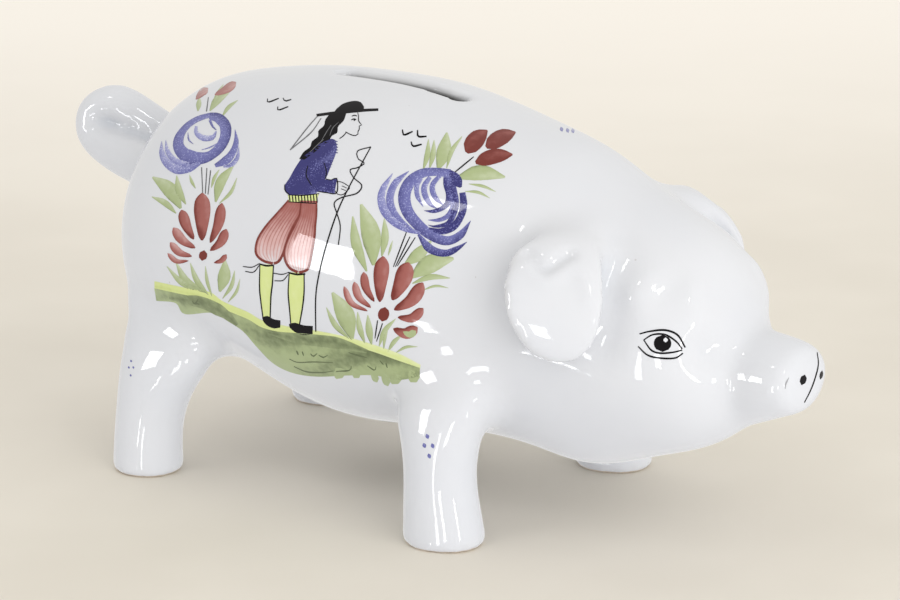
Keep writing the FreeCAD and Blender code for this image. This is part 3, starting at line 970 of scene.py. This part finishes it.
def stockings_and_shoes():
    """Yellow stockings with garter ribbons, and black shoes."""
    rear = ([(-11.3, -17.5), (-11.4, -23.5), (-11.1, -27.0), (-10.5, -31.6)],
            [(-7.7, -17.6), (-8.0, -22.6), (-8.4, -26.1), (-8.6, -31.9)])
    front = ([(-3.5, -19.6), (-3.8, -24.8), (-3.5, -28.8), (-3.1, -33.3)],
             [(0.4, -19.9), (0.4, -24.8), (0.0, -28.8), (-0.8, -33.4)])
    for a, b in (rear, front):
        fill(yellow, a, b, lambda t, w: 0.72 + 0.12 * w * w, 0, 5)
        outline(a, 0.36)
        outline(b, 0.36)
    outline([(-11.6, -17.4), (-9.6, -17.9), (-7.7, -17.8)], 0.5)
    outline([(-3.8, -19.7), (-1.6, -20.2), (0.7, -20.1)], 0.55)
    for points in ([(-11.6, -17.4), (-13.4, -18.3), (-15.8, -18.1)], [(-11.5, -17.8), (-13.0, -19.6), (-15.2, -19.4)],
                   [(-3.8, -19.7), (-5.4, -20.2), (-7.6, -19.9)], [(-3.8, -20.2), (-5.2, -21.8), (-7.4, -21.9)]):
        outline(points, 0.28, 0.85)
    fill(black, [(-10.7, -31.6), (-9.3, -31.2), (-7.7, -32.1), (-5.9, -32.4)],
         [(-10.5, -32.5), (-9.5, -33.7), (-7.7, -34.5), (-5.9, -34.3)], ink, 2, 5)
    fill(black, [(-3.6, -33.4), (-2.0, -33.0), (0.2, -33.7), (2.7, -33.9)],
         [(-3.4, -34.3), (-2.0, -35.5), (0.4, -36.3), (2.7, -36.0)], ink, 2, 5)


def staff():
    """A thin staff with a cord wound round it."""
    outline([(18.1, 13.6), (12.4, 3.1), (9.1, -4.0), (6.2, -12.8), (4.4, -20.0), (3.5, -26.2), (3.5, -35.4)],
            0.36, 1.0, 4)
    outline([(18.1, 13.6), (14.6, 12.5), (14.8, 10.4), (16.4, 9.3), (14.6, 8.1), (12.6, 7.5), (13.6, 5.4),
             (15.7, 3.4), (14.4, 1.3), (10.4, 0.2), (8.4, -1.3), (9.1, -4.0),
             (10.0, -7.5), (9.5, -12.4)], 0.32, 1.0, 4)


# The right side is painted first, then its mirror image on the left, without the figure, birds and snout lines.
for painted_side in (-1, 1):
    for paint in PAINTS:
        paint.side = painted_side
    ground_band()
    rear_bouquet()
    front_bouquet()
    eye()
    dot_motif([(-6.0, -36.2), (-6.8, -38.6), (-4.6, -38.7), (-5.5, -41.4)], 1.25)
    dot_motif([(-84.6, -16.2), (-85.2, -17.9), (-84.0, -17.9), (-84.7, -20.0)], 0.6)
    if painted_side < 0:
        snout()
        hat_and_hair()
        calm_face()
        jacket()
        belt()
        breeches()
        stockings_and_shoes()
        staff()
        dot_motif([(30.0, 46.7), (31.8, 46.3), (29.6, 45.3), (32.6, 44.9), (31.2, 45.0)], 1.15)
        birds(FIGURE, [[(-9.3, 26.4), (-9.1, 25.5), (-6.3, 26.5)], [(-5.2, 26.6), (-4.6, 25.8), (-3.0, 26.2)],
                       [(-6.6, 24.3), (-6.4, 23.4), (-3.8, 24.3)]])
        birds(FRONT_HEART, [[(5.0, 49.0), (5.4, 47.6), (7.7, 48.5)], [(9.0, 48.9), (9.2, 47.2), (11.4, 47.2)],
                            [(7.3, 45.8), (7.8, 44.6), (10.1, 45.1)]], 0.5)


def pigment(name, pale, full, deep, grain=0.0, shine=0.34):
    """Paint under the glaze's own gloss: white where there is none, through a pale wash to the deepest
    stroke. grain is how much of the tone fine specks take away."""
    tree = Tree(name)
    tone = tree.attribute("tone")
    wash = tree.math("SUBTRACT", tree.noise(520.0, 3.0), 0.5)
    tone = tree.math("ADD", tone, tree.math("MULTIPLY", wash, 0.3))
    if grain:
        stipple = tree.spread(tree.noise(2600.0, 1.0), 0.56, 0.66)
        tone = tree.math("SUBTRACT", tone, tree.math("MULTIPLY", stipple, grain))
    colour = tree.mix(tree.spread(tone, 0.0, 0.4), WHITE, pale)
    colour = tree.mix(tree.spread(tone, 0.3, 0.85), colour, full)
    colour = tree.mix(tree.spread(tone, 0.85, 1.25), colour, deep)
    roughness, normal = glaze_surface(tree)
    return tree.finish(Base_Color=colour, Roughness=roughness, Normal=normal, IOR=GLAZE_INDEX,
                       Specular_IOR_Level=shine)


blue.build(pigment("cobalt_blue", (0.40, 0.41, 0.66), (0.15, 0.155, 0.39), (0.030, 0.028, 0.155), 0.36))
red.build(pigment("iron_red", (0.66, 0.40, 0.375), (0.345, 0.105, 0.088), (0.17, 0.022, 0.014)))
green.build(pigment("leaf_green", (0.63, 0.68, 0.49), (0.385, 0.45, 0.225), (0.12, 0.15, 0.065)))
yellow.build(pigment("straw_yellow", (0.77, 0.81, 0.50), (0.66, 0.73, 0.28), (0.46, 0.54, 0.12)))
black.build(pigment("brushed_black", (0.26, 0.26, 0.27), (0.008, 0.007, 0.008), (0.005, 0.004, 0.005), 0.0, 0.10))
# painted highlight: plain glaze white for the glint on the eye
white.build(pigment("painted_highlight_white", WHITE, WHITE, WHITE))

# ---- stage, light and camera ----


def aim(obj, eye, target):
    """Put an object at one point, facing another."""
    obj.location = eye
    obj.rotation_euler = (target - eye).to_track_quat("-Z", "Y").to_euler()


def soft_light(name, eye, target, wide, high, watts, colour):
    """A rectangular panel of light."""
    data = bpy.data.lights.new(name, "AREA")
    data.shape = "RECTANGLE"
    data.size = wide
    data.size_y = high
    data.energy = watts
    data.color = colour
    obj = bpy.data.objects.new(name, data)
    bpy.context.scene.collection.objects.link(obj)
    aim(obj, Vector(eye), Vector(target))
    return obj


CLOTH_DARK = (0.77, 0.72, 0.63)
CLOTH_LIGHT = (0.82, 0.77, 0.68)
CLOTH_BEHIND = (0.97, 0.92, 0.84)
CLOTH_BOUNCE = (0.97, 0.97, 0.98)   # the cloth as it lights the bank from below
CLOTH_HALF = 3.0


def plain_floor():
    """A pale cloth with painted light: a little lighter far behind the bank, and whiter in the light it throws onto
    the bank than the camera sees it.
    """
    a = CLOTH_HALF
    mesh = bpy.data.meshes.new("studio_floor")
    mesh.from_pydata([(-a, -a, 0), (a, -a, 0), (a, a, 0), (-a, a, 0)], [], [(0, 1, 2, 3)])
    floor = bpy.data.objects.new("studio_floor", mesh)
    bpy.context.scene.collection.objects.link(floor)
    tree = Tree("studio_cloth")
    colour = tree.mix(tree.spread(tree.noise(9.0, 3.0), 0.35, 0.7), CLOTH_DARK, CLOTH_LIGHT)
    behind = tree.add("VectorMath", "Value", {"operation": "DOT_PRODUCT"}, i0=tree.place(), i1=tuple(-BACK))
    # painted light: the cloth lightens towards the far back as though more brightly lit there
    colour = tree.mix(tree.spread(behind, 0.1, 0.65), colour, CLOTH_BEHIND)
    # painted light: rays other than the camera's see a whiter cloth, so more light bounces up onto the bank
    seen = tree.add("LightPath", "Is Camera Ray")
    colour = tree.mix(seen, CLOTH_BOUNCE, colour)
    mesh.materials.append(tree.finish(Base_Color=colour, Roughness=0.9))
    floor.visible_glossy = False


def sky_light(name, azimuth, elevation, distance, wide, high, watts, colour):
    """A soft panel in a direction from the bank, in degrees."""
    turn, lift = math.radians(azimuth), math.radians(elevation)
    way = Vector((math.cos(turn) * math.cos(lift), math.sin(turn) * math.cos(lift), math.sin(lift)))
    return soft_light(name, TARGET + way * distance, TARGET, wide, high, watts, colour)


NEUTRAL = (1.0, 1.0, 1.0)
WARM = (1.0, 0.995, 0.985)
WARMER = (1.0, 0.99, 0.97)
COOL = (0.97, 0.98, 1.0)
WINDOW_DISTANCE = 1.5
WINDOWS = [                         # azimuth, elevation, width and height in metres, watts, colour
    ("window", -115, 8, 0.34, 0.46, 5.0, COOL),
    ("window_low", -95, -22, 0.065, 0.20, 0.45, COOL),
    ("window_tall", -78, -15, 0.12, 0.66, 1.6, COOL),
    ("window_third", -60, -8, 0.14, 0.30, 1.1, COOL),
    ("window_right", -22, -3, 0.10, 0.20, 0.5, NEUTRAL),
    ("small_panel", -30, 38, 0.10, 0.22, 0.6, NEUTRAL),
    ("top_panel", -100, 57, 0.14, 0.14, 0.5, NEUTRAL),
]
BEHIND_EYE = TARGET - BACK * 0.9 + Vector((0, 0, 1.1))
BEHIND_SPOT = TARGET - BACK * 0.75

plain_floor()
# The wide fills light the bank without showing in its gloss; the windows are what the gloss shows.
fills = [
    sky_light("large_panel", -24, 27, 2.1, 2.4, 1.5, 10.0, WARM),
    sky_light("right_fill", -18, 2, 2.2, 1.8, 0.9, 15.0, WARM),
    soft_light("behind", BEHIND_EYE, BEHIND_SPOT, 1.2, 1.2, 1.3, WARMER),
]
for fill_light in fills:
    fill_light.visible_glossy = False
windows = [sky_light(name, azimuth, elevation, WINDOW_DISTANCE, *rest)
           for name, azimuth, elevation, *rest in WINDOWS]
windows[0].visible_diffuse = False

world = bpy.data.worlds.new("studio")
bpy.context.scene.world = world
world.use_nodes = True
background = world.node_tree.nodes["Background"]
background.inputs["Color"].default_value = (1.0, 0.992, 0.975, 1.0)
background.inputs["Strength"].default_value = 0.82

camera_data = bpy.data.cameras.new("camera")
camera_data.lens = LENS_MM
camera_data.sensor_width = SENSOR_MM
camera = bpy.data.objects.new("camera", camera_data)
bpy.context.scene.collection.objects.link(camera)
aim(camera, EYE, TARGET)
bpy.context.scene.camera = camera
bpy.context.scene.view_settings.view_transform = "Standard"
